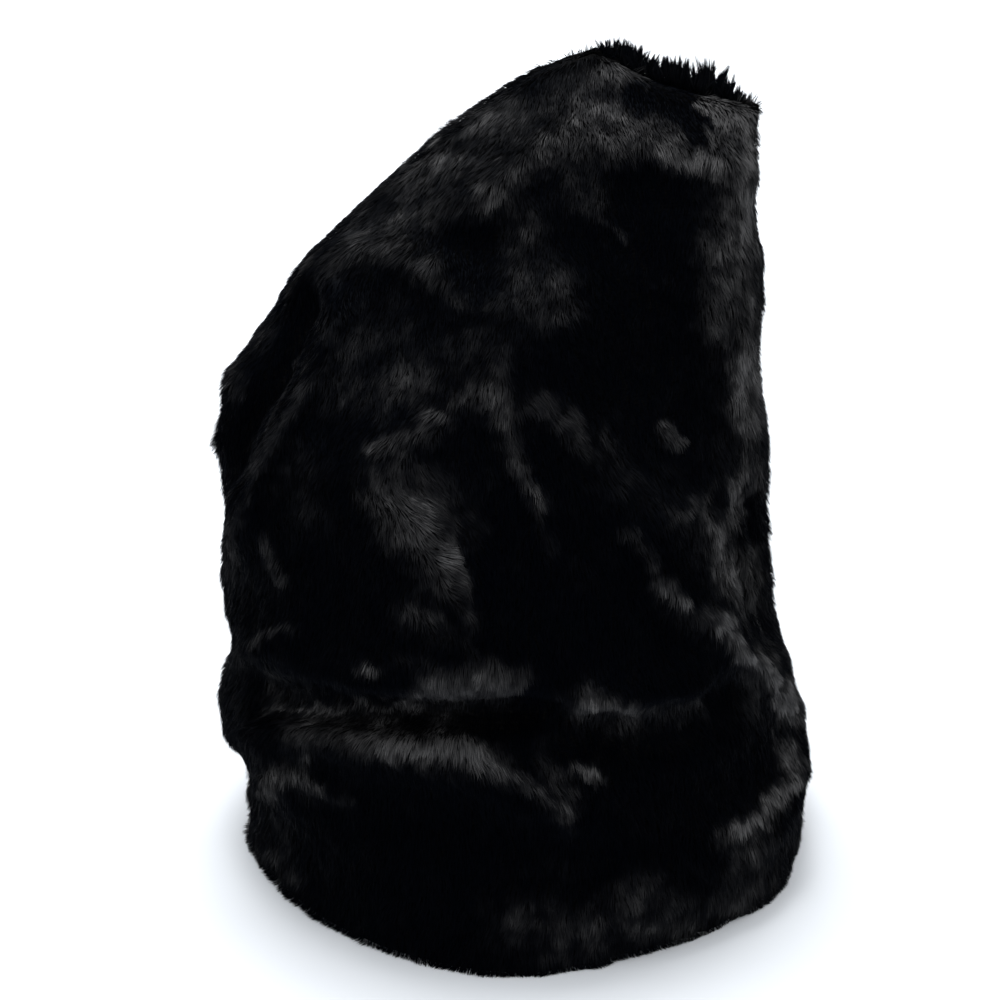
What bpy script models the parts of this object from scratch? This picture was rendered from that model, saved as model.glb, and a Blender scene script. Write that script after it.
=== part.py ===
"""Tall soft hat of black faux fur, standing on its open rim: two fur panels sewn together up the
sides and over the top, and the ruffled pile that stands up on the back panel's side of the top seam.

The frame: metres, +Z up, the front towards -Y, left and right as they are seen from the front, and
the origin on the floor under the middle of the hat's box.
"""

import math
from collections import namedtuple

import bmesh
import bpy
from mathutils import Vector

# Driving sizes, in metres.
RIM_WIDTH = 0.200  # side to side at the rim, over the fur
RIM_DEPTH = 0.224  # front to back at the rim, over the fur
HAT_HEIGHT = 0.292  # floor to the left end of the top seam
FUR_WALL = 0.0080  # knitted backing with its pile lying down
SEAM_GAP = 0.0004  # between the two panels where they are sewn together
TOP_SAG = 0.0035  # how far the top seam hangs between its ends
SAG_FADE = 8  # a power: the larger, the sooner the sag dies away below the seam
FOLD_RISE = 0.016  # how far the strongest fold would stand in or out
FOLD_REACH = 0.018  # from the middle of the widest fold to its edge
RUFFLE_HEIGHT = 0.0095  # longest lock of the pile that stands behind the top seam
RUFFLE_WIDTH = 0.0052  # front to back, over the strip that the locks grow from
RUFFLE_BASE = 0.0014  # thickness of that strip
SEAT_GAP = 0.0003  # between the strip and the panels' top edges

# How finely the panels are divided across, and how many locks the ruffle has in each of its rows.
FRONT_COLUMNS = 38
BACK_COLUMNS = 18
LOCK_COUNT = 22
LOCK_ROW_COUNT = 2

# Sections from the rim to the top seam. left_up and right_up are shares of HAT_HEIGHT at the two
# side edges, left and right are shares of half RIM_WIDTH, front and back of half RIM_DEPTH, and
# rows is how many rows of cloth lie between this section and the next.
Section = namedtuple("Section", "left_up right_up left right front back rows")
SECTIONS = (
    Section(0.000, 0.000, 0.99, 0.99, 1.00, 1.00, 2),
    Section(0.050, 0.050, 1.00, 1.00, 1.00, 1.00, 2),
    Section(0.100, 0.100, 1.01, 1.00, 1.00, 1.00, 2),
    Section(0.145, 0.145, 1.09, 1.00, 1.00, 1.00, 2),
    Section(0.190, 0.190, 1.09, 0.95, 0.99, 0.99, 3),
    Section(0.245, 0.245, 1.04, 0.91, 0.97, 0.98, 4),
    Section(0.300, 0.300, 1.07, 0.87, 0.95, 0.97, 5),
    Section(0.350, 0.350, 1.07, 0.86, 0.94, 0.96, 3),
    Section(0.410, 0.410, 1.06, 0.83, 0.92, 0.94, 2),
    Section(0.460, 0.460, 1.07, 0.83, 0.90, 0.92, 2),
    Section(0.510, 0.510, 1.09, 0.83, 0.87, 0.89, 2),
    Section(0.560, 0.560, 1.06, 0.82, 0.83, 0.85, 2),
    Section(0.600, 0.600, 1.04, 0.80, 0.79, 0.81, 2),
    Section(0.650, 0.645, 0.92, 0.79, 0.74, 0.76, 2),
    Section(0.700, 0.695, 0.83, 0.80, 0.68, 0.70, 2),
    Section(0.760, 0.750, 0.69, 0.80, 0.61, 0.63, 3),
    Section(0.830, 0.800, 0.49, 0.785, 0.52, 0.54, 2),
    Section(0.890, 0.845, 0.31, 0.77, 0.41, 0.43, 2),
    Section(0.940, 0.885, 0.13, 0.77, 0.28, 0.29, 2),
    Section(0.975, 0.915, -0.02, 0.78, 0.16, 0.16, 2),
    Section(1.000, 0.936, -0.23, 0.78, 0.06, 0.06, 0),
)

# How square a level section is: 2 is an oval, less has a pinched side and more has full corners.
LEFT_RIM_SQUARENESS = 1.85
RIGHT_RIM_SQUARENESS = 2.20
TOP_SQUARENESS = 2.0

# Folds, each along a path of turn and up. Turn goes round the hat: -1 left edge, 0 front, 1 right
# edge, 2 back. Up is a share of HAT_HEIGHT, reach of FOLD_REACH, and rise of FOLD_RISE, inwards if
# negative.
Fold = namedtuple("Fold", "rise reach path")
FOLDS = (
    # The slouch: a deep crease over the head band, a lip above each half of it and a roll below.
    Fold(-0.60, 0.35, ((-0.75, 0.25), (-0.42, 0.302), (-0.10, 0.323), (0.05, 0.331))),
    Fold(-0.45, 0.40, ((0.14, 0.32), (0.30, 0.295), (0.62, 0.28))),
    Fold(0.30, 0.45, ((-0.38, 0.35), (-0.20, 0.375), (0.08, 0.382))),
    Fold(0.40, 0.40, ((0.20, 0.345), (0.32, 0.345), (0.48, 0.325))),
    Fold(0.35, 0.50, ((-0.62, 0.21), (-0.48, 0.25), (-0.28, 0.266), (-0.10, 0.26), (0.18, 0.20))),
    Fold(-0.25, 0.80, ((-0.45, 0.16), (-0.10, 0.18), (0.15, 0.13))),
    Fold(-0.20, 0.90, ((0.32, 0.21), (0.60, 0.17))),
    Fold(0.25, 0.45, ((-0.78, 0.325), (-0.72, 0.335), (-0.55, 0.345))),
    # The left tuck: the slouched corner shows behind a ridge of the front cloth.
    Fold(-0.95, 0.70, ((-0.84, 0.70), (-0.80, 0.66), (-0.79, 0.60), (-0.84, 0.53))),
    Fold(0.45, 0.60, ((-0.66, 0.71), (-0.62, 0.66), (-0.60, 0.60), (-0.64, 0.53), (-0.74, 0.46))),
    Fold(0.35, 0.50, ((-0.85, 0.75), (-0.70, 0.78), (-0.46, 0.795))),
    # The right side: slanting ridges down to the roll, with a dark hollow behind them.
    Fold(0.40, 0.60, ((0.40, 0.52), (0.50, 0.43), (0.62, 0.36), (0.78, 0.29), (0.90, 0.23))),
    Fold(0.30, 0.55, ((0.56, 0.57), (0.66, 0.48), (0.72, 0.40))),
    Fold(-0.55, 0.55, ((0.80, 0.46), (0.86, 0.33))),
    Fold(0.30, 0.50, ((0.88, 0.17), (0.78, 0.12), (0.60, 0.10))),
    Fold(0.25, 0.80, ((0.62, 0.87), (0.66, 0.72), (0.74, 0.60))),
    # The upper front: a brow under the top seam, hollows below it, and a swell down the middle.
    Fold(0.25, 0.60, ((-0.45, 0.86), (-0.33, 0.89), (-0.10, 0.91), (0.20, 0.915), (0.50, 0.90))),
    Fold(-0.45, 1.25, ((0.15, 0.84), (0.25, 0.78), (0.30, 0.70))),
    Fold(-0.35, 0.65, ((-0.36, 0.825), (-0.20, 0.815))),
    Fold(0.35, 0.90, ((-0.30, 0.60), (-0.20, 0.53), (-0.06, 0.44))),
    Fold(0.20, 0.50, ((0.12, 0.66), (0.12, 0.54))),
    Fold(-0.25, 0.90, ((-0.45, 0.48), (-0.40, 0.42))),
    # The back, plain: one slack crease and two long swells.
    Fold(-0.35, 0.70, ((1.25, 0.30), (2.00, 0.32), (2.75, 0.29))),
    Fold(0.25, 1.10, ((1.60, 0.42), (1.70, 0.76))),
    Fold(0.25, 1.10, ((2.50, 0.70), (2.35, 0.43))),
)
LEFT_EDGE, RIGHT_EDGE, ROUND = -1.0, 1.0, 4.0  # in turns
EDGE_FADE = 0.30  # next to the side seams, folds die away over this share of half the width

# The ruffle's locks: how tall they are, as a share of RUFFLE_HEIGHT, along its strip.
Tuft = namedtuple("Tuft", "along tall")
TUFTS = (
    Tuft(0.00, 0.30),
    Tuft(0.12, 0.50),
    Tuft(0.32, 0.60),
    Tuft(0.46, 0.35),
    Tuft(0.58, 0.65),
    Tuft(0.76, 1.00),
    Tuft(0.88, 0.70),
    Tuft(1.00, 0.25),
)
RUFFLE_START, RUFFLE_END = 0.03, 0.92  # as shares of the top seam
UNEVEN = 0.30  # how much shorter than that a lock may be
UNEVEN_STEP = 2.4  # radians from one lock's height and lean to the next one's
LOCK_TIP = 0.30  # width of a lock's tip, as a share of its root
LOCK_LEAN = 0.30  # how far a tip leans, as a share of the lock's height

FUR_COLOUR = (0.012, 0.012, 0.013, 1.0)
FUR_ROUGHNESS = 0.55


def clear_scene():
    for thing in list(bpy.data.objects):
        bpy.data.objects.remove(thing, do_unlink=True)


def fur_material(name):
    material = bpy.data.materials.new(name)
    material.use_nodes = True
    shader = material.node_tree.nodes["Principled BSDF"]
    shader.inputs["Base Color"].default_value = FUR_COLOUR
    shader.inputs["Roughness"].default_value = FUR_ROUGHNESS
    shader.inputs["Metallic"].default_value = 0.0
    return material


def mix(low, high, share):
    return low + (high - low) * share


def section_at(place):
    """The section at this place in the table, smoothly between its rows: 0 is the rim."""
    index = min(int(place), len(SECTIONS) - 2)
    t = place - index
    before = SECTIONS[max(index - 1, 0)]
    low, high = SECTIONS[index], SECTIONS[index + 1]
    after = SECTIONS[min(index + 2, len(SECTIONS) - 1)]
    blended = []
    for a, b, c, d in zip(before, low, high, after):
        bend = (2 * a - 5 * b + 4 * c - d) * t**2
        turn_back = (3 * b - a - 3 * c + d) * t**3
        blended.append(b + ((c - a) * t + bend + turn_back) / 2)
    return Section(*blended)


def away_from(path, turn, up, quarter_girth):
    """How far a place on the cloth is from a fold's path, in metres."""
    stretch = Vector((quarter_girth, HAT_HEIGHT))
    gaps = []
    for start, stop in zip(path, path[1:]):
        across = (turn - start[0] + ROUND / 2) % ROUND - ROUND / 2
        here = Vector((across, up - start[1])) * stretch
        run = Vector((stop[0] - start[0], stop[1] - start[1])) * stretch
        along = min(max(here.dot(run) / run.length_squared, 0.0), 1.0)
        gaps.append((here - run * along).length)
    return min(gaps)


def fold_offset(turn, up, quarter_girth):
    """How far the folds push the cloth out at this place, in metres."""
    offset = 0.0
    for fold in FOLDS:
        away = away_from(fold.path, turn, up, quarter_girth) / (fold.reach * FOLD_REACH)
        offset += fold.rise * FOLD_RISE * math.exp(-away * away)
    return offset


def cloth_point(turn, place, inside):
    """A place on the hat: turn round it, place in the table of sections, outer or inner skin."""
    section = section_at(place)
    way = place / (len(SECTIONS) - 1)
    behind = turn > RIGHT_EDGE
    left, right = -section.left * RIM_WIDTH / 2, section.right * RIM_WIDTH / 2
    middle, half = (left + right) / 2, (right - left) / 2
    depth = (section.back if behind else section.front) * RIM_DEPTH / 2
    swing = (turn - LEFT_EDGE) * math.pi / 2
    up = mix(section.left_up, section.right_up, (1 - math.cos(swing)) / 2)
    quarter_girth = math.pi / 2 * math.hypot(half, depth) / math.sqrt(2)
    push = fold_offset(turn, up, quarter_girth)
    push *= min(1.0, abs(math.sin(swing)) / EDGE_FADE, depth / (2 * FUR_WALL))
    if inside:
        half -= FUR_WALL
        depth = max(depth - FUR_WALL, 0.0)
    rim_squareness = LEFT_RIM_SQUARENESS if math.cos(swing) > 0 else RIGHT_RIM_SQUARENESS
    power = 2 / mix(rim_squareness, TOP_SQUARENESS, way)
    x = -math.copysign(abs(math.cos(swing)) ** power, math.cos(swing)) * half
    y = -math.copysign(abs(math.sin(swing)) ** power, math.sin(swing)) * depth
    grown = 1 + push / math.hypot(x, y)
    x, y = middle + x * grown, y * grown
    y += math.copysign(SEAM_GAP / 2, 1 if behind else -1)
    share = min(max((x - left) / (right - left), 0.0), 1.0)
    height = HAT_HEIGHT * mix(section.left_up, section.right_up, share) + seam_sag(share, way)
    return Vector((x, y, height))


def seam_sag(share, way):
    """How far the top seam hangs here, and the cloth just below it."""
    return -TOP_SAG * way**SAG_FADE * math.sin(math.pi * share)


def blank(columns, rows, thick):
    """A flat sheet with two skins: x and y from 0 to 1, z 0 on one skin and thick on the other."""
    sheet = bmesh.new()
    bmesh.ops.create_grid(sheet, x_segments=columns, y_segments=rows, size=0.5)
    first_skin = sheet.faces[:]
    made = bmesh.ops.extrude_face_region(sheet, geom=first_skin)["geom"]
    second_skin = [item for item in made if isinstance(item, bmesh.types.BMVert)]
    bmesh.ops.translate(sheet, verts=second_skin, vec=(0, 0, thick))
    bmesh.ops.translate(sheet, verts=sheet.verts[:], vec=(0.5, 0.5, 0))
    return sheet, first_skin


def panel(name, first_turn, columns, collection):
    """One fur panel: a flat blank, draped over the form from one side edge to the other."""
    places = [index + step / low.rows for index, low in enumerate(SECTIONS) for step in range(low.rows)]
    places.append(len(SECTIONS) - 1)
    rows = len(places) - 1
    sheet, _ = blank(columns, rows, 1.0)
    for vertex in sheet.verts:
        across, up, skin = vertex.co
        vertex.co = cloth_point(first_turn + 2 * across, places[round(up * rows)], inside=skin > 0.5)
    bmesh.ops.triangulate(sheet, faces=sheet.faces[:], quad_method="BEAUTY")
    return finish(name, sheet, collection)


def lock_height(along, number):
    """A lock's height as a share of the longest, from the table of tufts."""
    index = max(i for i, tuft in enumerate(TUFTS[:-1]) if tuft.along <= along)
    low, high = TUFTS[index], TUFTS[index + 1]
    tall = mix(low.tall, high.tall, (along - low.along) / (high.along - low.along))
    return tall * (1 - UNEVEN * (1 + math.sin(number * UNEVEN_STEP)) / 2)


def seam_length():
    """How long the stretch of the top seam is that the ruffle stands on, from side to side."""
    return (RUFFLE_END - RUFFLE_START) * (SECTIONS[-1].left + SECTIONS[-1].right) * RIM_WIDTH / 2


def ruffle_point(along, across, level):
    """A place on the ruffle: along and across its strip, and its level: -1 under the strip, 0 on
    top of it and 1 at the tip of the longest lock."""
    share = mix(RUFFLE_START, RUFFLE_END, along)
    top = SECTIONS[-1]
    left, right = -top.left * RIM_WIDTH / 2, top.right * RIM_WIDTH / 2
    seam = mix(top.left_up, top.right_up, share) * HAT_HEIGHT + seam_sag(share, 1.0)
    height = SEAT_GAP + RUFFLE_BASE * (1 + min(level, 0.0)) + RUFFLE_HEIGHT * max(level, 0.0)
    return Vector((mix(left, right, share), across * RUFFLE_WIDTH + SEAM_GAP, seam + height))


def seam_ruffle(name, collection):
    """The pile that stands behind the top seam: locks that grow from one strip along it."""
    strip, crown = blank(LOCK_COUNT, LOCK_ROW_COUNT, -1.0)
    for number, lock in enumerate(bmesh.ops.extrude_discrete_faces(strip, faces=crown)["faces"]):
        root = lock.calc_center_median()
        tall = lock_height(root.x, number)
        lean = tall * RUFFLE_HEIGHT * LOCK_LEAN * math.cos(number * UNEVEN_STEP)
        for vertex in lock.verts:
            vertex.co = root + (vertex.co - root) * LOCK_TIP
            vertex.co.x += lean / seam_length()
            vertex.co.z = tall
    for vertex in strip.verts:
        vertex.co = ruffle_point(*vertex.co)
    return finish(name, strip, collection)


def finish(name, shape, collection):
    bmesh.ops.recalc_face_normals(shape, faces=shape.faces[:])
    if shape.calc_volume(signed=True) < 0:
        bmesh.ops.reverse_faces(shape, faces=shape.faces[:])
    mesh = bpy.data.meshes.new(name)
    shape.to_mesh(mesh)
    shape.free()
    mesh.shade_smooth()
    mesh.materials.append(fur_material(name + "_fur"))
    made = bpy.data.objects.new(name, mesh)
    collection.objects.link(made)
    return made


def centre_over_origin(pieces):
    """Moves the meshes so that the middle of the hat's box stands over the origin."""
    corners = [vertex.co for piece in pieces for vertex in piece.data.vertices]
    middle = [(min(c[axis] for c in corners) + max(c[axis] for c in corners)) / 2 for axis in (0, 1)]
    for piece in pieces:
        for vertex in piece.data.vertices:
            vertex.co -= Vector((*middle, 0))


def main():
    clear_scene()
    hat = bpy.data.collections.new("faux_fur_hat")
    bpy.context.scene.collection.children.link(hat)
    pieces = [
        panel("front_panel", LEFT_EDGE, FRONT_COLUMNS, hat),
        panel("back_panel", RIGHT_EDGE, BACK_COLUMNS, hat),
        seam_ruffle("seam_ruffle", hat),
    ]
    centre_over_origin(pieces)


main()
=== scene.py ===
"""A tall soft hat of black faux fur, standing on its open rim on a white floor."""

import math
from collections import namedtuple

import bmesh
import bpy
import numpy as np
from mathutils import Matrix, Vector, noise
from mathutils.bvhtree import BVHTree
from mathutils.kdtree import KDTree


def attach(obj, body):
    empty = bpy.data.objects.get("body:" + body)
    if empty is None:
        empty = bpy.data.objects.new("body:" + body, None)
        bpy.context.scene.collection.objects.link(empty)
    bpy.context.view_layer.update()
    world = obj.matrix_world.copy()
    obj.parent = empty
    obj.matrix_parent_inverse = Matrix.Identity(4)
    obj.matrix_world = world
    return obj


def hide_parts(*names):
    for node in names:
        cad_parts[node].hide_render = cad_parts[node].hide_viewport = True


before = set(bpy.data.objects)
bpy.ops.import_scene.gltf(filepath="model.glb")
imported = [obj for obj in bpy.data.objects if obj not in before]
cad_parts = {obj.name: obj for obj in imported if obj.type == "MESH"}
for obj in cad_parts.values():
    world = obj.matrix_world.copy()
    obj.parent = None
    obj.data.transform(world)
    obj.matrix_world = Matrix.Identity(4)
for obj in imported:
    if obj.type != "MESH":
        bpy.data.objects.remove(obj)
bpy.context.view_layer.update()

# The view
# The hat is seen from well back through a long lens, from straight in front and a little above.
VIEW_DOWN = math.radians(24)
VIEW_DISTANCE = 1.6
VIEW_CENTRE = Vector((-0.00483, 0.0, 0.12637))
LENS_MM, SENSOR_MM = 164.36, 36.0

camera = bpy.data.objects.new("camera", bpy.data.cameras.new("camera"))
bpy.context.scene.collection.objects.link(camera)
camera.data.sensor_width = SENSOR_MM
camera.data.lens = LENS_MM
camera.location = VIEW_CENTRE + VIEW_DISTANCE * Vector((0, -math.cos(VIEW_DOWN), math.sin(VIEW_DOWN)))
camera.rotation_euler = (math.pi / 2 - VIEW_DOWN, 0, 0)
bpy.context.scene.camera = camera

# The folds, and the brushed places of the pile with their painted highlights and shade, are given where
# they stand in this view: across from its left edge and down from its top, in a frame of 1000 by 1000.
VIEW_SIDE = 1000
VIEW_FROM = np.array(camera.location)
VIEW_AHEAD = np.array((0, math.cos(VIEW_DOWN), -math.sin(VIEW_DOWN)))
VIEW_UP = np.array((0, math.sin(VIEW_DOWN), math.cos(VIEW_DOWN)))
FULLY_SHOWN = 0.35  # the least cosine between a normal and the line of sight


def in_view(points):
    """Where points stand in the view, across and down."""
    gap = points - VIEW_FROM
    near = VIEW_SIDE * LENS_MM / SENSOR_MM / (gap @ VIEW_AHEAD)
    return np.stack([VIEW_SIDE / 2 + gap[:, 0] * near, VIEW_SIDE / 2 - (gap @ VIEW_UP) * near], 1)


def shown(points, normals, past=0.0):
    """How squarely each place faces the view, from 0 to 1; past widens this over the hat's edge."""
    towards = VIEW_FROM - points
    towards /= np.linalg.norm(towards, axis=1, keepdims=True)
    return np.clip((normals * towards).sum(1) / FULLY_SHOWN + past, 0, 1)


# The knitted backing of the two panels
# Faux fur is a knitted cloth with its pile worked through it. Each panel's cloth follows the
# folds of the solid, a pile's depth inside it, and shows only at the rim and in the hollow.
PILE_DEPTH = 0.0036  # from the surface of the solid in to where the pile starts
THICKNESS_KEPT = 0.45  # of the wall, at most, where it is thinner
WALL = 0.008  # its usual thickness
JUST_INSIDE = 0.0002
OUTWARD = 0.6  # the least cosine of a face that clearly belongs to the outer skin
SLICE = 0.008  # height of the slices whose middles tell which way is outwards
SHARP_TURN = math.radians(55)  # the outer skin ends at edges that turn by more than this
MERGE_WITHIN = 0.00001
BACKING_COLOUR = (0.004, 0.004, 0.0045, 1)
BETWEEN_STITCHES = (0.002, 0.002, 0.002, 1)
HEM_TOP = 0.004  # the cloth's edge is its hem up to this height, and is pushed only sideways
MOST_PUSHED = 5.0  # millimetres, where several of the smaller folds meet
SMOOTHINGS = 2

# The smaller folds of the front, over those of the solid: rise in millimetres outwards, reach
# across the fold and the places along it, both as they stand in the view.
Crumple = namedtuple("Crumple", "rise reach path")
CRUMPLES = (
    # The tuck at the left, where the cloth of the front stands over the slouched corner.
    Crumple(-4.0, 15, ((307, 306), (297, 350), (272, 392), (250, 434), (238, 462))),
    Crumple(2.8, 12, ((330, 275), (330, 330), (309, 378), (285, 416), (266, 450), (250, 490), (238, 530))),
    # The shoulder over it, and the hollow beside that.
    Crumple(2.8, 13, ((300, 288), (324, 256), (360, 241), (400, 243), (432, 262))),
    Crumple(1.6, 10, ((432, 262), (452, 290), (485, 301), (515, 302))),
    Crumple(-2.6, 24, ((440, 232), (480, 236))),
    Crumple(-1.6, 18, ((350, 280), (410, 282))),
    # The brow under the top seam, and the hollows under that.
    Crumple(2.4, 20, ((452, 212), (510, 165), (560, 138), (625, 140), (700, 154), (748, 170))),
    Crumple(-1.8, 16, ((538, 182), (556, 182))),
    Crumple(-2.2, 20, ((622, 186), (662, 188))),
    Crumple(-3.0, 55, ((620, 260), (650, 340), (640, 400))),
    Crumple(1.4, 9, ((585, 198), (612, 216), (632, 228))),
    # The swells down the middle.
    Crumple(2.0, 28, ((400, 480), (430, 540), (462, 598))),
    Crumple(1.6, 12, ((505, 350), (512, 420), (516, 460))),
    Crumple(1.5, 14, ((540, 405), (590, 440))),
    Crumple(1.4, 16, ((392, 440), (440, 412))),
    Crumple(1.6, 8, ((520, 468), (536, 492), (548, 530), (552, 552))),
    Crumple(-1.4, 26, ((330, 420), (350, 560))),
    # The slanting folds at the right.
    Crumple(2.4, 13, ((640, 520), (664, 568), (700, 606), (736, 640), (764, 666), (792, 702))),
    Crumple(2.4, 12, ((690, 496), (716, 528), (730, 566), (734, 606))),
    Crumple(-3.2, 8, ((742, 500), (742, 560), (752, 604), (764, 640))),
    Crumple(1.8, 8, ((754, 520), (750, 560), (752, 590))),
    Crumple(-1.6, 20, ((690, 560), (700, 575))),
    # The slouch: a thin crease under its lips, and the roll below it.
    Crumple(-2.4, 8, ((250, 702), (330, 708), (400, 711), (470, 709), (540, 706))),
    Crumple(1.0, 10, ((300, 694), (400, 694), (460, 688), (530, 686))),
    Crumple(2.4, 11, ((578, 706), (600, 692), (640, 706), (676, 712), (704, 700))),
    Crumple(-2.0, 14, ((570, 736), (640, 742), (720, 730))),
    Crumple(2.8, 13, (
        (240, 728), (300, 724), (350, 734), (400, 738), (470, 738), (505, 766), (542, 790), (568, 818),
    )),
    Crumple(2.0, 10, ((256, 782), (300, 776), (342, 790))),
    Crumple(-1.6, 9, ((262, 758), (330, 762))),
    Crumple(1.6, 9, ((238, 655), (262, 631), (304, 622))),
    Crumple(1.5, 7, ((262, 526), (270, 558), (284, 582))),
    # The head band.
    Crumple(2.0, 8, ((802, 764), (772, 800), (742, 820), (724, 842))),
    Crumple(-1.8, 18, ((740, 770), (690, 800))),
    Crumple(1.4, 22, ((520, 930), (600, 930))),
    Crumple(1.4, 26, ((640, 880), (650, 930))),
    # The hem tucks in a little at the right, and stands out at the left.
    Crumple(-6.0, 26, ((636, 962), (680, 952), (730, 932))),
    Crumple(3.4, 20, ((246, 840), (262, 880), (300, 912), (350, 942), (430, 968), (540, 979))),
    # The slanting top edge's pile stands out a little, and so do the bumps of the two side edges.
    Crumple(1.4, 16, (
        (575, 52), (540, 66), (487, 97), (444, 127), (394, 172),
        (346, 216), (306, 262), (262, 318), (240, 352),
    )),
    Crumple(1.6, 14, (
        (764, 245), (765, 300), (764, 350), (766, 410), (769, 470),
        (767, 520), (772, 560), (778, 600), (788, 650),
    )),
    Crumple(-1.6, 10, ((250, 335), (240, 350))),
    Crumple(4.2, 9, ((222, 360), (216, 380))),
    Crumple(3.2, 12, ((211, 402), (209, 425), (211, 438))),
    Crumple(-1.2, 8, ((221, 500), (221, 515))),
    Crumple(2.2, 10, ((217, 545), (217, 572))),
    Crumple(-1.6, 8, ((230, 620), (230, 632))),
    Crumple(2.6, 10, ((222, 650), (217, 685))),
    Crumple(-2.2, 10, ((236, 755), (246, 772))),
)


def off_path(places, path):
    """How far places in the view are from a path in it."""
    away = np.full(len(places), np.inf)
    for start, stop in zip(np.array(path[:-1], float), np.array(path[1:], float)):
        run = stop - start
        along = np.clip((places - start) @ run / (run @ run), 0, 1)
        away = np.minimum(away, np.linalg.norm(places - start - along[:, None] * run, axis=1))
    return away


def crumpled(points, normals):
    """How far the smaller folds push the cloth out at these points, in metres."""
    places = in_view(points)
    push = np.zeros(len(points))
    for fold in CRUMPLES:
        push += fold.rise * np.exp(-(off_path(places, fold.path) / fold.reach) ** 2)
    return np.clip(push, -MOST_PUSHED, MOST_PUSHED) / 1000 * shown(points, normals, past=1.0)


def in_order(parts):
    """Corners, edges or faces out of a set, in the same order each run."""
    return sorted(parts, key=lambda part: part.index)


def outer_skin(shape):
    """A panel's outer skin: the faces met from the clearly outward ones without crossing a sharp edge."""
    shape.normal_update()
    shape.verts.index_update()
    shape.edges.index_update()
    shape.faces.index_update()
    level = {}
    for vertex in shape.verts:
        level.setdefault(round(vertex.co.z / SLICE), []).append(vertex.co.x)
    middle = {key: (min(xs) + max(xs)) / 2 for key, xs in level.items()}
    found = set()
    for face in shape.faces:
        centre = face.calc_center_median()
        near = min(middle, key=lambda key: abs(key - centre.z / SLICE))
        away = Vector((centre.x - middle[near], centre.y, 0)).normalized()
        if face.normal.dot(away) > OUTWARD:
            found.add(face)
    edge_of_skin = list(found)
    while edge_of_skin:
        face = edge_of_skin.pop()
        for edge in face.edges:
            if len(edge.link_faces) == 2 and edge.calc_face_angle() < SHARP_TURN:
                other = edge.link_faces[0] if edge.link_faces[1] is face else edge.link_faces[1]
                if other not in found:
                    found.add(other)
                    edge_of_skin.append(other)
    return found


def knitted_cloth():
    material = bpy.data.materials.new("knitted_backing")
    material.use_nodes = True
    nodes, links = material.node_tree.nodes, material.node_tree.links
    shader = nodes["Principled BSDF"]
    shader.inputs["Roughness"].default_value = 0.85
    shader.inputs["Specular IOR Level"].default_value = 0.02
    place = nodes.new("ShaderNodeTexCoord")
    wave = nodes.new("ShaderNodeTexWave")
    wave.bands_direction = "Z"
    wave.inputs["Scale"].default_value = 260.0
    wave.inputs["Distortion"].default_value = 1.5
    links.new(place.outputs["Object"], wave.inputs["Vector"])
    ramp = nodes.new("ShaderNodeValToRGB")
    ramp.color_ramp.elements[0].color = BETWEEN_STITCHES
    ramp.color_ramp.elements[1].color = BACKING_COLOUR
    links.new(wave.outputs["Fac"], ramp.inputs["Fac"])
    links.new(ramp.outputs["Color"], shader.inputs["Base Color"])
    bump = nodes.new("ShaderNodeBump")
    bump.inputs["Strength"].default_value = 0.5
    bump.inputs["Distance"].default_value = 0.0004
    links.new(wave.outputs["Fac"], bump.inputs["Height"])
    links.new(bump.outputs["Normal"], shader.inputs["Normal"])
    return material


backing_cloth = knitted_cloth()


def merged_copy(node):
    shape = bmesh.new()
    shape.from_mesh(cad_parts[node].data)
    bmesh.ops.remove_doubles(shape, verts=shape.verts[:], dist=MERGE_WITHIN)
    return shape


def refined(shape):
    """The shape with its outer skin quartered, smoothed and given the smaller folds."""
    edges = {edge for face in outer_skin(shape) for edge in face.edges}
    bmesh.ops.subdivide_edges(shape, edges=in_order(edges), cuts=1, use_grid_fill=True)
    bmesh.ops.triangulate(shape, faces=[face for face in shape.faces if len(face.verts) > 4])
    skin = outer_skin(shape)
    skin_points = in_order({v for f in skin for v in f.verts})
    inner = [v for v in skin_points if all(f in skin for f in v.link_faces)]
    edge = [v for v in skin_points if not all(f in skin for f in v.link_faces)]
    hem = [v for v in edge if v.co.z < HEM_TOP]
    for _ in range(SMOOTHINGS):
        bmesh.ops.smooth_vert(
            shape, verts=inner, factor=0.5, use_axis_x=True, use_axis_y=True, use_axis_z=True,
        )
    shape.normal_update()
    points = np.array([v.co for v in inner + hem])
    sideways = [(v.normal * Vector((1, 1, 0))).normalized() for v in hem]
    normals = np.array([v.normal for v in inner] + sideways)
    for vertex, normal, push in zip(inner + hem, normals, crumpled(points, normals).tolist()):
        vertex.co += Vector(normal) * push
    return shape


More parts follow.
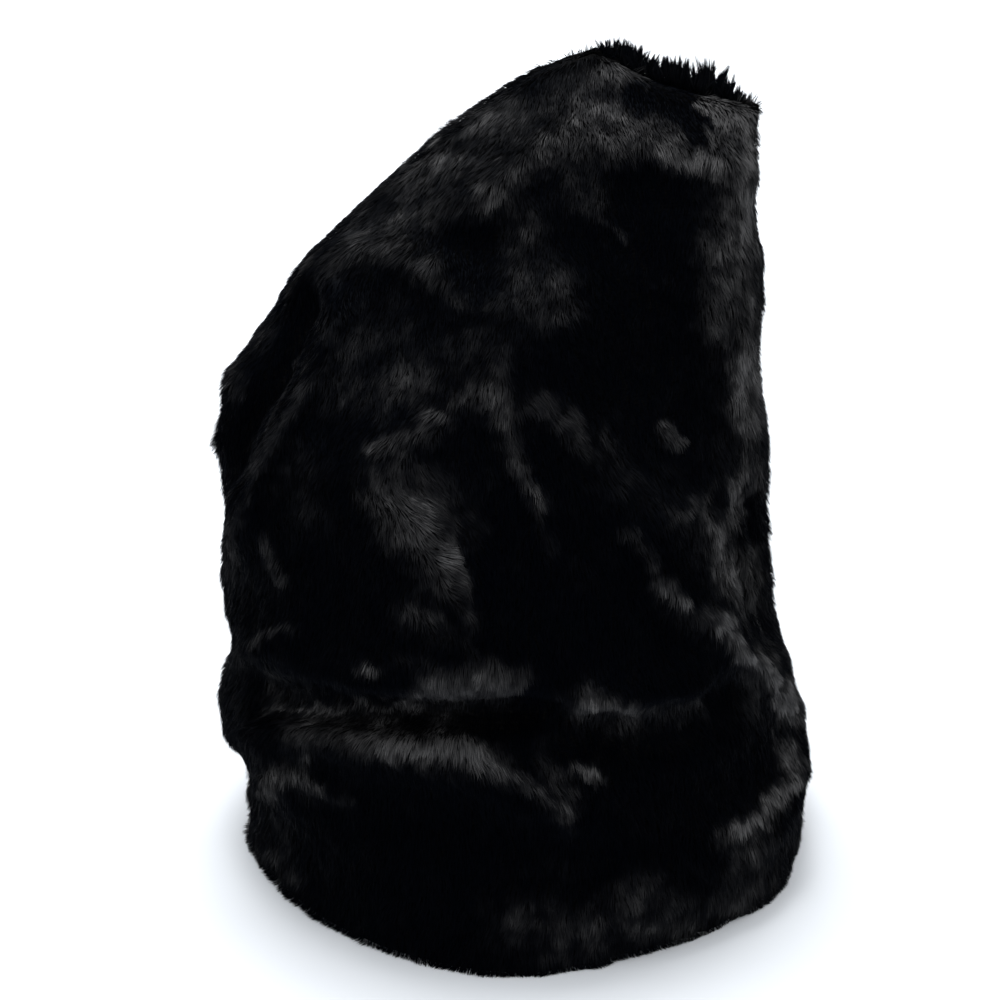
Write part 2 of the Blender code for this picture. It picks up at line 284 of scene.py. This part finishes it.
def backing(node, name):
    """The panel's cloth, and the outer skin that its pile fills out to: corners, normals and depths."""
    shape = refined(merged_copy(node))
    bmesh.ops.triangulate(shape, faces=shape.faces[:])
    skin = outer_skin(shape)
    shape.normal_update()
    tree = BVHTree.FromBMesh(shape)
    corners = []
    depth_at, normal_at = {}, {}
    for vertex in in_order({vertex for face in skin for vertex in face.verts}):
        around = [face.normal * face.calc_area() for face in vertex.link_faces if face in skin]
        normal = sum(around, Vector()).normalized()
        far_side = tree.ray_cast(vertex.co - normal * JUST_INSIDE, -normal, 2.5 * WALL)
        thick = far_side[3] if far_side[3] is not None else WALL
        depth_at[vertex] = min(PILE_DEPTH, thick * THICKNESS_KEPT)
        normal_at[vertex] = normal
    for face in in_order(skin):
        corners.append([(*v.co, *normal_at[v], depth_at[v]) for v in face.verts])
    for vertex, depth in depth_at.items():
        vertex.co -= normal_at[vertex] * depth
        vertex.co.z = max(vertex.co.z, 0.0)
    mesh = bpy.data.meshes.new(name)
    shape.to_mesh(mesh)
    shape.free()
    mesh.shade_smooth()
    mesh.materials.append(backing_cloth)
    piece = bpy.data.objects.new(name, mesh)
    bpy.context.scene.collection.objects.link(piece)
    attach(piece, "root")
    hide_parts(node)
    return np.array(corners)


front_skin = backing("front_panel", "front_backing")
back_skin = backing("back_panel", "back_backing")

# The pile
# Soft black fibres about 6 mm long, which start upright and bend over to lie down the hat. They
# cling together in small tufts, and swirl where hands have brushed them.
PILE_LENGTH = 0.0062
PILE_UNEVEN = 0.15
FIBRE_WIDTH = 0.00028
ROOT_LIFT, TIP_LIFT = math.radians(68), math.radians(8)  # up from the cloth
LIFT_WANDER = math.radians(14)
SWIRL = math.radians(30)
ASTRAY = math.radians(7)
BAND_SIZE, SWIRL_SIZE = 0.045, 0.035  # sizes of the noise, from the broadest to the finest
PATCH_SIZE, RIPPLE_SIZE, TUFT_SIZE = 0.016, 0.008, 0.0035
TUFT_SPACING = 9  # fibres to a tuft
CLING = 0.40  # how far a tuft's tips are drawn together
ROLL = math.radians(50)  # how far a blade may turn about its own length
FRONT_FIBRES = 294000
BACK_FIBRES = 170000
STEPS = 2  # stretches to a fibre, which bends between them
CREST = 0.006  # how far below the top seam the back's pile still stands up
SEAM_COVER = 0.003  # how far from the side seams the pile leans across them
SEAM_LEAN = 0.6
LEVEL_LIE = 0.55  # how much flatter the pile lies where the cloth faces up
FACING_UP = 0.6  # the least upward part of a normal where it lies flattest
FLOOR_CLEAR = 0.0003
FLOOR_SPREAD = 0.10  # how far the pile gives sideways for each length that the floor lifts it
DARKEST, LIGHTEST = 0.004, 0.99  # tones

# Where the pile is brushed, as strokes along paths in the view. Each stroke paints light into the pile's
# colour: how light it is (a painted highlight; less than 0 is painted shade), how far the nap turns there
# (degrees, towards the right), how far it reaches to each side of its path, and the path.
Stroke = namedtuple("Stroke", "light nap wide path")
STROKES = (
    # The slope under the top left edge, in middling light.
    Stroke(0.045, 0, 34, ((385, 205), (430, 168), (480, 132), (530, 100))),
    Stroke(0.17, 0, 12, ((400, 178), (430, 160), (450, 146))),
    Stroke(0.10, 0, 12, ((446, 150), (470, 142))),
    Stroke(0.02, 0, 9, ((474, 196), (484, 178), (478, 160))),
    Stroke(0.12, 0, 13, ((402, 210), (426, 206), (440, 196))),
    Stroke(0.18, 0, 14, ((484, 112), (500, 106))),
    Stroke(0.40, 0, 10, ((484, 190), (502, 178))),
    # The shoulder of the slouched corner.
    Stroke(0.15, -20, 11, ((326, 256), (346, 242), (372, 234), (398, 240), (418, 250), (428, 266))),
    Stroke(0.02, -20, 12, ((340, 262), (372, 252))),
    Stroke(0.07, 0, 7, ((437, 271), (450, 282), (462, 292), (480, 297), (500, 295))),
    # The edge of the front's cloth beside the tuck, and the corner that shows behind it.
    Stroke(0.10, -10, 8, ((318, 356), (306, 378), (290, 398), (274, 416), (266, 434), (256, 454))),
    Stroke(0.07, -10, 8, ((254, 462), (242, 484), (233, 506), (226, 535), (224, 556), (230, 574))),
    Stroke(0.03, 0, 7, ((302, 280), (278, 312), (260, 340))),
    Stroke(0.09, 0, 13, ((232, 370), (240, 388))),
    Stroke(0.09, 0, 5, ((264, 530), (268, 546), (274, 562), (282, 577))),
    Stroke(0.025, 0, 22, ((300, 452), (300, 510))),
    Stroke(-0.02, 0, 8, ((228, 588), (242, 598))),
    # The tuck's hollow, between the two, in painted shade.
    Stroke(-0.10, 0, 20, ((308, 298), (300, 338), (280, 372), (258, 402), (238, 436), (230, 470))),
    # The top, under the seam, with painted highlights and, where it is blackest, painted shade.
    Stroke(0.12, 0, 22, ((572, 92), (592, 72), (612, 84))),
    Stroke(0.50, 0, 9, ((604, 60), (620, 66), (640, 75), (652, 84))),
    Stroke(-1.00, 0, 9, ((632, 84), (646, 90))),
    Stroke(-1.00, 0, 11, ((654, 86), (678, 94), (700, 116))),
    Stroke(0.28, 10, 12, ((512, 160), (542, 138), (570, 122), (590, 106))),
    Stroke(0.12, 5, 12, ((500, 178), (520, 166))),
    Stroke(0.08, 0, 16, ((566, 148), (600, 140), (640, 128))),
    Stroke(0.20, 0, 16, ((616, 120), (650, 118), (680, 128))),
    Stroke(1.00, 0, 8, ((662, 142), (680, 148), (702, 153))),
    Stroke(0.85, 0, 12, ((696, 98), (710, 106), (726, 109), (742, 107))),
    Stroke(0.26, 0, 16, ((712, 128), (722, 158))),
    Stroke(0.75, 0, 11, ((748, 112), (750, 150), (748, 200), (752, 236))),
    Stroke(0.08, 0, 14, ((578, 172), (592, 190))),
    Stroke(0.06, 0, 4, ((582, 200), (600, 210), (614, 221), (622, 230))),
    Stroke(0.01, 0, 16, ((696, 178), (716, 196))),
    # The right edge, down to the tuck there.
    Stroke(0.22, 0, 18, ((722, 210), (726, 262), (722, 310))),
    Stroke(0.20, 0, 12, ((748, 262), (750, 330))),
    Stroke(0.80, 0, 11, ((752, 346), (752, 412))),
    Stroke(0.20, 0, 10, ((750, 426), (750, 470))),
    Stroke(0.012, 0, 20, ((722, 330), (728, 400), (722, 452), (722, 480))),
    Stroke(0.45, 0, 5, ((741, 468), (739, 496), (734, 514))),
    Stroke(0.28, 0, 10, ((748, 548), (750, 596))),
    Stroke(0.04, 0, 6, ((768, 566), (772, 600))),
    # The swell down the middle.
    Stroke(0.11, 0, 22, ((528, 214), (530, 240), (536, 290))),
    Stroke(0.11, 0, 13, ((556, 262), (568, 292))),
    Stroke(0.018, 0, 24, ((515, 322), (505, 350))),
    Stroke(0.13, 5, 13, ((494, 372), (506, 398), (508, 426))),
    Stroke(0.20, 5, 9, ((512, 440), (518, 458))),
    Stroke(0.16, 0, 12, ((470, 384), (490, 382))),
    Stroke(0.03, 0, 34, ((380, 330), (430, 350), (470, 340))),
    Stroke(0.06, 0, 22, ((338, 330), (346, 380))),
    Stroke(0.30, -10, 9, ((396, 377), (409, 366))),
    Stroke(0.045, 0, 14, ((372, 372), (384, 400))),
    Stroke(0.13, -20, 10, ((418, 390), (430, 402))),
    Stroke(0.24, -30, 11, ((402, 437), (420, 427), (440, 409))),
    Stroke(0.30, -30, 7, ((378, 442), (391, 431))),
    Stroke(0.006, 0, 24, ((452, 420), (470, 450))),
    Stroke(0.10, 35, 12, ((541, 392), (556, 407), (572, 422), (585, 441))),
    Stroke(0.06, 0, 7, ((608, 424), (612, 450))),
    Stroke(0.30, 40, 6, ((664, 414), (672, 426), (682, 433))),
    Stroke(0.22, 15, 7, ((523, 477), (534, 483), (540, 499))),
    Stroke(0.025, 15, 6, ((537, 502), (545, 524), (551, 546))),
    # The brushed patch in the middle of the front.
    Stroke(0.10, 35, 9, ((362, 484), (376, 494))),
    Stroke(0.34, 40, 20, ((388, 484), (400, 510))),
    Stroke(0.09, 35, 22, ((430, 486), (440, 510))),
    Stroke(0.16, 40, 19, ((406, 508), (424, 540), (442, 570))),
    Stroke(0.20, 35, 17, ((436, 560), (446, 574))),
    Stroke(0.14, 35, 10, ((452, 588), (464, 602), (470, 614))),
    Stroke(0.03, 20, 9, ((470, 500), (474, 530))),
    Stroke(0.11, 45, 12, ((408, 608), (424, 620))),
    Stroke(0.04, 40, 6, ((440, 626), (468, 640), (476, 652))),
    Stroke(0.03, 30, 8, ((402, 652), (412, 656))),
    # The slanting folds at the right.
    Stroke(0.03, 20, 22, ((622, 470), (660, 484), (690, 500))),
    Stroke(0.20, 20, 7, ((672, 505), (688, 500))),
    Stroke(0.13, 20, 6, ((624, 526), (640, 538), (654, 552), (660, 566))),
    Stroke(0.50, 20, 9, ((668, 578), (682, 592))),
    Stroke(0.15, 25, 13, ((694, 604), (722, 612))),
    Stroke(0.65, -10, 9, ((709, 500), (717, 522), (724, 544), (731, 572))),
    Stroke(0.02, -10, 12, ((696, 522), (702, 552))),
    Stroke(0.75, 30, 8, ((729, 622), (746, 645), (768, 662), (786, 682), (793, 704))),
    Stroke(0.09, 20, 14, ((750, 676), (756, 704))),
    # The two lips over the crease, and the line of light between them and the left edge.
    Stroke(0.26, 0, 17, ((440, 684), (470, 681), (504, 679))),
    Stroke(-0.08, 0, 7, ((508, 690), (528, 690))),
    Stroke(0.30, 0, 4, ((272, 700), (292, 705), (330, 706), (360, 702), (392, 703), (420, 699))),
    Stroke(0.09, 0, 7, ((268, 684), (276, 698))),
    Stroke(0.09, 0, 8, ((296, 688), (298, 700))),
    Stroke(0.25, 10, 14, ((582, 705), (598, 698), (616, 704), (630, 711))),
    Stroke(0.07, 10, 6, ((636, 718), (652, 716), (668, 710), (684, 702), (698, 698))),
    Stroke(0.50, 0, 6, ((362, 661), (376, 664))),
    Stroke(0.14, 0, 4, ((251, 640), (262, 629), (280, 624), (292, 623))),
    Stroke(-0.02, 0, 4, ((250, 642), (246, 656), (245, 668))),
    Stroke(0.02, 0, 8, ((234, 628), (226, 656), (226, 688), (236, 702))),
    # The roll under the crease, and the tuft of light at its left end.
    Stroke(0.30, 10, 13, ((304, 728), (326, 722), (346, 726), (362, 740))),
    Stroke(0.07, 10, 8, ((284, 740), (290, 736))),
    Stroke(0.70, 5, 13, ((376, 730), (388, 739))),
    Stroke(1.00, 5, 9, ((406, 731), (422, 742))),
    Stroke(0.99, 0, 14, ((442, 737), (464, 741), (482, 748))),
    Stroke(0.17, 25, 9, ((492, 756), (504, 772), (520, 777), (536, 788), (552, 802), (566, 814))),
    Stroke(0.07, 20, 11, ((545, 746), (560, 770), (571, 792))),
    Stroke(0.80, 0, 6, ((584, 760), (598, 766))),
    Stroke(0.50, 30, 9, ((262, 781), (280, 775), (300, 771), (311, 776))),
    Stroke(0.05, 20, 5, ((320, 789), (338, 795))),
    # The head band.
    Stroke(0.02, 0, 9, ((268, 810), (288, 830))),
    Stroke(0.10, 0, 10, ((262, 848), (274, 852))),
    Stroke(0.05, 0, 8, ((286, 864), (294, 872))),
    Stroke(0.80, 0, 8, ((789, 738), (797, 766))),
    Stroke(1.20, 0, 8, ((799, 773), (786, 785), (770, 801), (756, 812), (744, 818))),
    Stroke(0.19, -30, 8, ((738, 820), (724, 832))),
    Stroke(0.10, 0, 22, ((760, 832), (756, 868), (744, 892))),
    Stroke(0.05, 0, 28, ((524, 928), (600, 922), (660, 902), (696, 906))),
    Stroke(0.035, 0, 12, ((726, 902), (758, 892))),
    Stroke(0.05, -15, 12, ((516, 926), (534, 914))),
    Stroke(0.24, 0, 12, ((590, 912), (596, 938))),
    Stroke(0.14, -10, 11, ((646, 926), (688, 921))),
    Stroke(0.10, 0, 12, ((628, 892), (656, 882))),
    Stroke(0.09, 0, 10, ((545, 958), (562, 950))),
)
UNSEEN_PAINTED_SHEEN = 0.27  # where the view doesn't reach, patches of painted sheen are left to chance
FRAYING = 6.5  # how far, in the view, a stroke's edge strays


def brushed_nap_and_painted_light(points, normals, clouds):
    """The painted highlight and shade of the pile, and how far its nap turns, at these points."""
    places = in_view(points) + clouds[:, :2] * FRAYING
    light = np.zeros(len(points))
    turn = np.zeros(len(points))
    for stroke in STROKES:
        there = np.exp(-((off_path(places, stroke.path) / stroke.wide) ** 2))
        # each stroke's light is painted into the pile's tone: a painted highlight, or painted shade below 0
        light += stroke.light * there
        turn += math.radians(stroke.nap) * there
    return light, turn, shown(points, normals, past=0.5)


def cloudy(points, size, seed):
    """Smooth noise at the points, about -1 to 1, three numbers each, the same in each run."""
    noise.seed_set(seed)
    return np.array([noise.noise_vector(Vector(p) / size) for p in points.tolist()]) * 1.6


def roots_on(skin, count, draw):
    """Places spread evenly over the outer skin: point, normal and pile depth."""
    sides = np.cross(skin[:, 1, :3] - skin[:, 0, :3], skin[:, 2, :3] - skin[:, 0, :3])
    share = np.cumsum(np.linalg.norm(sides, axis=1))
    ticks = (np.arange(count) + draw.random(count)) / count * share[-1]
    face = np.minimum(np.searchsorted(share, ticks), len(skin) - 1)
    a, b = draw.random((2, count))
    over = a + b > 1
    a[over], b[over] = 1 - a[over], 1 - b[over]
    weights = np.stack([1 - a - b, a, b], 1)
    return np.einsum("nk,nkc->nc", weights, skin[face])


def unit(vectors):
    return vectors / np.maximum(np.linalg.norm(vectors, axis=-1, keepdims=True), 1e-12)


def turned(vectors, axes, angles):
    """The vectors, turned about unit axes that stand square to them."""
    return vectors * np.cos(angles)[:, None] + np.cross(axes, vectors) * np.sin(angles)[:, None]


def strip_line():
    """The foot of the ruffle's strip: where the top seam is, as a straight line of height over x."""
    strip = np.array([v.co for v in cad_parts["seam_ruffle"].data.vertices])
    slices = np.round((strip[:, 0] - strip[:, 0].min()) / 0.004)
    feet = [strip[slices == k][strip[slices == k, 2].argmin()] for k in np.unique(slices)]
    return np.polyfit([foot[0] for foot in feet], [foot[2] for foot in feet], 1)


def pile(skin, count, seed, forward, crest_lift_and_shade):
    """Every fibre as STEPS + 1 points from root to tip, with its normal and tone."""
    draw = np.random.default_rng(seed)
    found = roots_on(skin, count, draw)
    normal = unit(found[:, 3:6])
    root = found[:, :3] - normal * found[:, 6:7]
    down = np.array([0.0, -forward, -1.0]) + 0.02 * draw.standard_normal((count, 3))
    nap = unit(down - normal * (down * normal).sum(1, keepdims=True))
    broad = cloudy(found[:, :3], SWIRL_SIZE, seed)
    fine = cloudy(found[:, :3], RIPPLE_SIZE, seed + 1)
    tuft = cloudy(found[:, :3], TUFT_SIZE, seed + 3)
    middling = cloudy(found[:, :3], PATCH_SIZE, seed + 4)
    crest = np.exp(-(((np.polyval(strip_line(), root[:, 0]) - root[:, 2]) / CREST) ** 2))
    # the strokes' painted highlights and shade, and the real turn of the nap
    light, turn, seen = brushed_nap_and_painted_light(found[:, :3], normal, 0.9 * middling + fine + 0.6 * tuft)
    # patches of painted sheen, placed at random, for the places the view doesn't reach
    bands = cloudy(found[:, :3], BAND_SIZE, seed + 2)
    patchy = 0.9 * bands[:, 0] + 0.6 * middling[:, 0] + 0.4 * fine[:, 0]
    painted_sheen_by_chance = UNSEEN_PAINTED_SHEEN * np.clip(0.9 * (patchy - 0.02), 0, 1) ** 1.5
    light = light * seen + painted_sheen_by_chance * (1 - seen)
    # under the top seam, where the back's pile stands up, its painted light is taken off and it is left
    # black as painted shade
    light *= 1 - crest * crest_lift_and_shade
    angle = SWIRL * ((1 - 0.7 * seen) * broad[:, 0] + 0.6 * fine[:, 0])
    angle += ASTRAY * draw.standard_normal(count)
    angle += turn * seen
    nap = turned(nap, normal, angle)
    length = PILE_LENGTH * (1 + PILE_UNEVEN * (draw.random(count) - 0.5) * 2 + 0.16 * fine[:, 1])
    length *= 0.4 + 0.6 * found[:, 6] / PILE_DEPTH
    lift = LIFT_WANDER * (0.7 * broad[:, 1] + 0.5 * fine[:, 2] + 0.35 * draw.standard_normal(count))
    by_seam = np.exp(-((root[:, 1] / SEAM_COVER) ** 2))
    across_seam = by_seam[:, None] * (0, SEAM_LEAN * np.sign(forward), 0)
    points = [root]
    for step in range(STEPS):
        rise = ROOT_LIFT + (TIP_LIFT - ROOT_LIFT) * (step + 0.5) / STEPS + lift * (step + 1) / STEPS
        rise *= 1 - LEVEL_LIE * np.clip(normal[:, 2] / FACING_UP, 0, 1)
        way = nap * np.cos(rise)[:, None] + normal * np.sin(rise)[:, None]
        way = unit(way + crest[:, None] * (0, 0, crest_lift_and_shade) + across_seam)
        points.append(points[-1] + way * (length / STEPS)[:, None])
    points = np.stack(points, 1)
    leaders = draw.choice(count, count // TUFT_SPACING, replace=False)
    tree = KDTree(len(leaders))
    for number, leader in enumerate(leaders.tolist()):
        tree.insert(root[leader], number)
    tree.balance()
    leader = leaders[[tree.find(place)[1] for place in root.tolist()]]
    cling = CLING * np.clip(0.7 + 0.5 * broad[:, 2] + 0.2 * draw.standard_normal(count), 0, 1)
    for step in range(1, STEPS + 1):
        pull = (cling * (step / STEPS) ** 1.5)[:, None]
        points[:, step] += pull * (points[leader, step] - points[:, step])
    under = np.minimum(points[:, :, 2] - FLOOR_CLEAR, 0)
    points[:, :, 2] -= under
    outward = unit(normal * np.array([1, 1, 0]))
    points -= outward[:, None, :] * under[:, :, None] * FLOOR_SPREAD
    mottle = 0.45 * middling[:, 2] + 0.60 * fine[:, 1] + 0.75 * tuft[:, 2]
    mottle += 0.25 * draw.standard_normal(count)
    return points, normal, np.clip((light + DARKEST) * np.exp(mottle), DARKEST, LIGHTEST)


def pile_mesh(name, points, normal, tone, draw, fibre_width=FIBRE_WIDTH):
    """The fibres as thin blades, widest where they bend, all in one mesh."""
    count = len(points)
    tangent = unit(np.gradient(points, axis=1))
    roll = draw.uniform(-ROLL, ROLL, count)
    facing = unit(normal[:, None, :] - tangent * (normal[:, None, :] * tangent).sum(2, keepdims=True))
    across = np.cross(tangent, facing)
    across = across * np.cos(roll)[:, None, None] + facing * np.sin(roll)[:, None, None]
    reach = across[:, 1] * (fibre_width * draw.uniform(0.75, 1.2, count) / 2)[:, None]
    verts = np.stack([points[:, 0], points[:, 1] - reach, points[:, 1] + reach, points[:, 2]], 1)
    loops = (np.array((0, 2, 1, 1, 2, 3))[None, :] + 4 * np.arange(count)[:, None]).ravel()
    mesh = bpy.data.meshes.new(name)
    mesh.vertices.add(4 * count)
    mesh.vertices.foreach_set("co", verts.astype(np.float32).ravel())
    mesh.loops.add(6 * count)
    mesh.loops.foreach_set("vertex_index", loops.astype(np.int32))
    mesh.polygons.add(2 * count)
    mesh.polygons.foreach_set("loop_start", np.arange(0, 6 * count, 3, dtype=np.int32))
    mesh.update(calc_edges=True)
    mesh.shade_smooth()
    along = np.array((0.0, 0.8, 0.8, 1.0))
    for label, values in (("tone", np.repeat(tone, 4)), ("along", np.tile(along, count))):
        mesh.attributes.new(label, "FLOAT", "POINT").data.foreach_set("value", values.astype(np.float32))
    spot = np.stack([tone[:, None] + (0.0, -0.004, 0.004, 0.0), np.tile(along, (count, 1))], 2)
    spot = spot.reshape(-1, 2)
    baked = mesh.uv_layers.new(name="OFBake", do_init=False)
    baked.data.foreach_set("uv", spot[loops].astype(np.float32).ravel())
    return mesh


def black_pile(name, root_colour, dark, light):
    material = bpy.data.materials.new(name)
    material.use_nodes = True
    nodes, links = material.node_tree.nodes, material.node_tree.links
    shader = nodes["Principled BSDF"]
    shader.inputs["Roughness"].default_value = 0.42
    shader.inputs["Specular IOR Level"].default_value = 0.010
    shader.inputs["Specular Tint"].default_value = (0.55, 0.75, 1.0, 1)
    tone = nodes.new("ShaderNodeAttribute")
    tone.attribute_name = "tone"
    along = nodes.new("ShaderNodeAttribute")
    along.attribute_name = "along"
    shades = nodes.new("ShaderNodeValToRGB")
    shades.color_ramp.elements[0].color = dark
    shades.color_ramp.elements[1].color = light
    links.new(tone.outputs["Fac"], shades.inputs["Fac"])
    blend = nodes.new("ShaderNodeMix")
    blend.data_type = "RGBA"
    # the roots are painted darker than the tips, as shade deep in the pile
    blend.inputs["A"].default_value = root_colour
    links.new(along.outputs["Fac"], blend.inputs["Factor"])
    links.new(shades.outputs["Color"], blend.inputs["B"])
    links.new(blend.outputs["Result"], shader.inputs["Base Color"])
    return material


# colours: the roots', painted darker as shade deep in the pile; the fur's own black; and the lightest
# painted highlight
lying_pile = black_pile(
    "lying_pile", (0.0002, 0.0003, 0.0006, 1), (0.0003, 0.0006, 0.0017, 1), (0.108, 0.108, 0.111, 1),
)


def grow(label, skin, count, bands, node, seed, forward, crest_lift_and_shade):
    """The panel's pile, in bands from the rim up, each a piece of its own."""
    points, normal, tone = pile(skin, count, seed, forward, crest_lift_and_shade)
    order = np.argsort(points[:, 0, 2], kind="stable")
    for number, chosen in enumerate(np.array_split(order, bands)):
        name = f"{label}_{number + 1}"
        draw = np.random.default_rng(seed + number)
        mesh = pile_mesh(name, points[chosen], normal[chosen], tone[chosen], draw)
        mesh.materials.append(lying_pile)
        piece = bpy.data.objects.new(name, mesh)
        bpy.context.scene.collection.objects.link(piece)
        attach(piece, "root")
        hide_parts(node)


grow("front_pile", front_skin, FRONT_FIBRES, 3, "front_panel", 11, 0.3, 0.0)
grow("back_pile", back_skin, BACK_FIBRES, 2, "back_panel", 23, -0.3, 1.0)

# The ruffle behind the top seam
# The back panel's pile isn't caught down in the seam. It stands up behind it in spiky bunches, and
# they are so thick that no light gets into them.
RUFFLE_FIBRES = 9000
RUFFLE_WIDE = 0.0050  # front to back
RUFFLE_SUNK = 0.0030  # from the seam down to the fibres' roots
RUFFLE_STRETCH = 1.07  # the fibres reach the seam's right end, a little past the strip's
Bunch = namedtuple("Bunch", "along tall")
BUNCHES = (
    Bunch(0.00, 0.0050), Bunch(0.04, 0.0074), Bunch(0.12, 0.0078), Bunch(0.26, 0.0074), Bunch(0.36, 0.0046),
    Bunch(0.50, 0.0084), Bunch(0.60, 0.0080), Bunch(0.67, 0.0076), Bunch(0.70, 0.0128), Bunch(0.73, 0.0100),
    Bunch(0.77, 0.0070), Bunch(0.84, 0.0080), Bunch(0.88, 0.0038), Bunch(0.94, 0.0018), Bunch(1.00, 0.0006),
)
BUNCH_SPACING = 22  # fibres to a bunch
BUNCHING = 0.8  # how far a bunch's tips are drawn together
RUFFLE_FIBRE_WIDTH = 0.00020


def ruffle(seed):
    """Fibres that stand up along the top of the ruffle's strip, drawn together in bunches."""
    draw = np.random.default_rng(seed)
    strip = np.array([v.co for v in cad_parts["seam_ruffle"].data.vertices])
    left, right = strip[:, 0].min(), strip[:, 0].max()
    front = strip[:, 1].min()
    along = draw.random(RUFFLE_FIBRES)
    root = np.stack([
        left + (right - left) * along * RUFFLE_STRETCH,
        front + RUFFLE_WIDE * draw.random(RUFFLE_FIBRES),
        np.polyval(strip_line(), left + (right - left) * along * RUFFLE_STRETCH) - RUFFLE_SUNK,
    ], 1)
    tall = np.interp(along, [b.along for b in BUNCHES], [b.tall for b in BUNCHES])
    centres = draw.choice(RUFFLE_FIBRES, RUFFLE_FIBRES // BUNCH_SPACING, replace=False)
    flat = root * (1, 0.5, 0)
    nearest = centres[np.argmin(np.linalg.norm(flat[:, None] - flat[centres][None], axis=2), axis=1)]
    tall = tall * (0.40 + 0.70 * draw.random(RUFFLE_FIBRES)[nearest] + 0.12 * draw.random(RUFFLE_FIBRES))
    sway = 0.28 * draw.standard_normal((RUFFLE_FIBRES, 3))[nearest]
    sway += 0.10 * draw.standard_normal((RUFFLE_FIBRES, 3))
    way = unit(np.array([0, 0.1, 1.0]) + sway * (1, 0.5, 0))
    points = [root - (0, 0, 0.001)]
    for step in range(STEPS):
        way = unit(way + (0, 0, -0.06 * step))
        points.append(points[-1] + way * ((tall + RUFFLE_SUNK) / STEPS)[:, None])
    points = np.stack(points, 1)
    for step in range(1, STEPS + 1):
        points[:, step] += BUNCHING * (step / STEPS) ** 1.3 * (points[nearest, step] - points[:, step])
    normal = np.tile([0.0, -1.0, 0.0], (RUFFLE_FIBRES, 1))
    tone = 0.02 + 0.03 * draw.standard_normal(RUFFLE_FIBRES)
    return points, normal, np.clip(tone, DARKEST, 0.2)


ruffle_mesh = pile_mesh(
    "seam_ruffle_pile", *ruffle(41), draw=np.random.default_rng(42), fibre_width=RUFFLE_FIBRE_WIDTH,
)
ruffle_mesh.materials.append(lying_pile)
ruffle_pile = bpy.data.objects.new("seam_ruffle_pile", ruffle_mesh)
bpy.context.scene.collection.objects.link(ruffle_pile)
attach(ruffle_pile, "root")
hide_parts("seam_ruffle")

# The floor and the light
# A white sweep in an even white room, under a big soft light overhead and behind.
FLOOR_COLOUR = (0.84, 0.88, 0.93, 1)
FLOOR_HALF = 6.0
white = bpy.data.materials.new("white_sweep")
white.use_nodes = True
white.node_tree.nodes["Principled BSDF"].inputs["Base Color"].default_value = FLOOR_COLOUR
white.node_tree.nodes["Principled BSDF"].inputs["Roughness"].default_value = 0.8
sweep = bmesh.new()
bmesh.ops.create_grid(sweep, x_segments=1, y_segments=1, size=FLOOR_HALF)
floor_mesh = bpy.data.meshes.new("floor")
sweep.to_mesh(floor_mesh)
sweep.free()
floor_mesh.materials.append(white)
floor = bpy.data.objects.new("floor", floor_mesh)
bpy.context.scene.collection.objects.link(floor)


def softbox(name, place, size, power, towards=(0, 0, 0.12)):
    light = bpy.data.lights.new(name, "AREA")
    light.shape = "DISK"
    light.size = size
    light.energy = power
    lamp = bpy.data.objects.new(name, light)
    lamp.location = place
    lamp.rotation_euler = (Vector(towards) - Vector(place)).to_track_quat("-Z", "Y").to_euler()
    bpy.context.scene.collection.objects.link(lamp)
    return lamp


softbox("overhead_light", (-0.20, 0.80, 2.5), 1.6, 52)

world = bpy.data.worlds.new("studio")
bpy.context.scene.world = world
world.use_nodes = True
world.node_tree.nodes["Background"].inputs["Color"].default_value = (1, 1, 1, 1)
world.node_tree.nodes["Background"].inputs["Strength"].default_value = 1.05
bpy.context.scene.view_settings.view_transform = "Standard"
